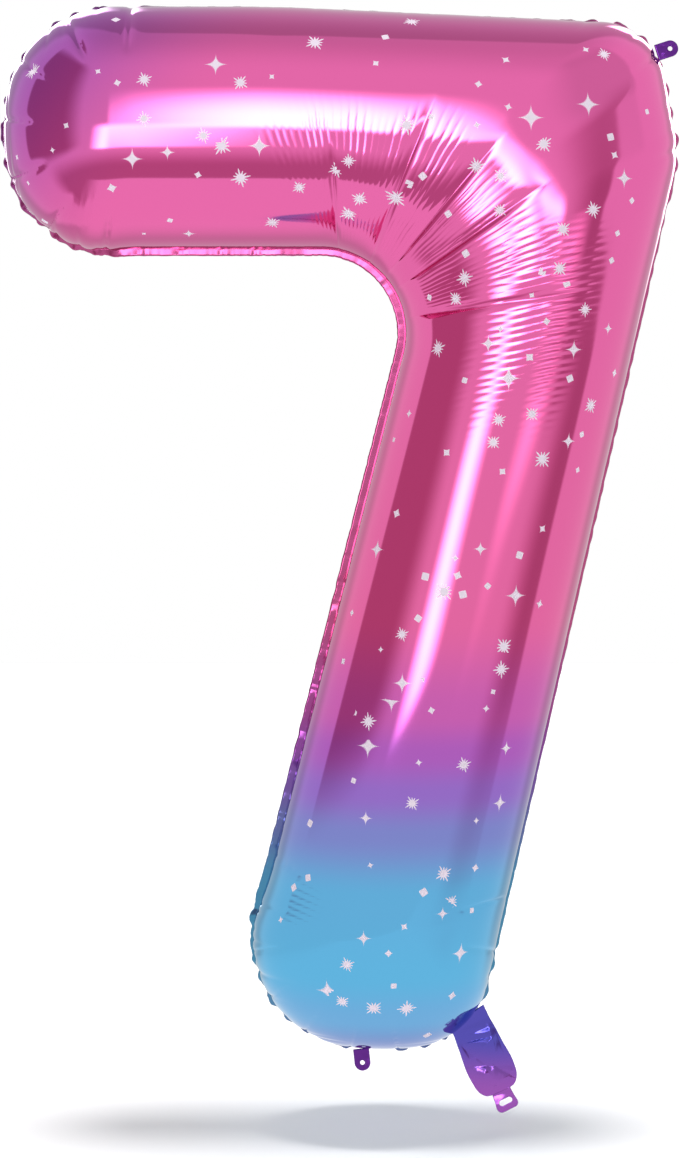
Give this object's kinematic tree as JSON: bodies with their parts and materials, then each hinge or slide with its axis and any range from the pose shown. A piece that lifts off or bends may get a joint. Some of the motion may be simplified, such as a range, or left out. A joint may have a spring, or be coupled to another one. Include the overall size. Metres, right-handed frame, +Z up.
{
  "type": "foil number balloon",
  "caption": "Inflated foil balloon shaped as the figure seven, with a sealed seam, a filling tail with a self-sealing valve, a tie tab and two hanging tabs.",
  "frame": {"origin": "centre of the tie slot in the tab at the end of the filling tail, midway through its thickness", "axes": "+Z up along the balloon's height, -Y out of the front panel, +X towards the shoulder of the seven as seen from the front"},
  "size_m": [0.581, 0.196, 0.9606],
  "materials": {
    "front_panel": "printed metallised foil, mirror-bright, pink at the top fading to blue at the foot",
    "rear_panel": "printed metallised foil, mirror-bright, pink at the top fading to blue at the foot",
    "perimeter_seam": "heat-sealed film edge",
    "neck_front_film": "clear film",
    "neck_rear_film": "clear film",
    "neck_side_welds": "clear film",
    "release_coating": "printed heat-resistant release ink",
    "tongue_front_film": "clear film",
    "tongue_rear_film": "clear film",
    "tongue_side_welds": "clear film",
    "tail_front_film": "printed metallised foil, violet",
    "tail_rear_film": "printed metallised foil, violet",
    "tail_side_seals": "printed metallised foil, violet",
    "inlet_front_film": "clear film",
    "inlet_rear_film": "clear film",
    "inlet_side_welds": "clear film",
    "tie_tab": "printed metallised foil, violet",
    "upper_hanging_tab": "printed metallised foil, violet",
    "lower_hanging_tab": "printed metallised foil, violet"
  },
  "bodies": {
    "envelope": {"front_panel": "front_panel", "rear_panel": "rear_panel", "perimeter_seam": "perimeter_seam", "neck_front_film": "neck_front_film", "neck_rear_film": "neck_rear_film", "neck_side_welds": "neck_side_welds", "release_coating": "release_coating"},
    "tongue": {"tongue_front_film": "tongue_front_film", "tongue_rear_film": "tongue_rear_film", "tongue_side_welds": "tongue_side_welds"},
    "tail": {"tail_front_film": "tail_front_film", "tail_rear_film": "tail_rear_film", "tail_side_seals": "tail_side_seals", "inlet_front_film": "inlet_front_film", "inlet_rear_film": "inlet_rear_film", "inlet_side_welds": "inlet_side_welds"},
    "tie_tab": {"tie_tab": "tie_tab"},
    "upper_tab": {"upper_hanging_tab": "upper_hanging_tab"},
    "lower_tab": {"lower_hanging_tab": "lower_hanging_tab"}
  },
  "joints": [
    {"name": "tail_fold", "type": "hinge", "parent": "envelope", "child": "tail", "pos_m": [-0.03125, 0, 0.06857], "axis": [0.8192, 0, 0.5736], "range_deg": [-90, 90]},
    {"name": "tie_tab_fold", "type": "hinge", "parent": "tail", "child": "tie_tab", "pos_m": [-0.0035, 0, 0.00769], "axis": [0.91, 0, 0.4147], "range_deg": [-90, 90]},
    {"name": "tongue_flap", "type": "hinge", "parent": "envelope", "child": "tongue", "pos_m": [-0.03961, 0, 0.08691], "axis": [0.91, 0, 0.4147], "range_deg": [-60, 60]},
    {"name": "upper_tab_fold", "type": "hinge", "parent": "envelope", "child": "upper_tab", "pos_m": [0.13002, 0, 0.91181], "axis": [-0.309, 0, 0.9511], "range_deg": [-90, 90]},
    {"name": "lower_tab_fold", "type": "hinge", "parent": "envelope", "child": "lower_tab", "pos_m": [-0.12644, 0, 0.04344], "axis": [0.9945, 0, 0.1045], "range_deg": [-90, 90]}
  ]
}
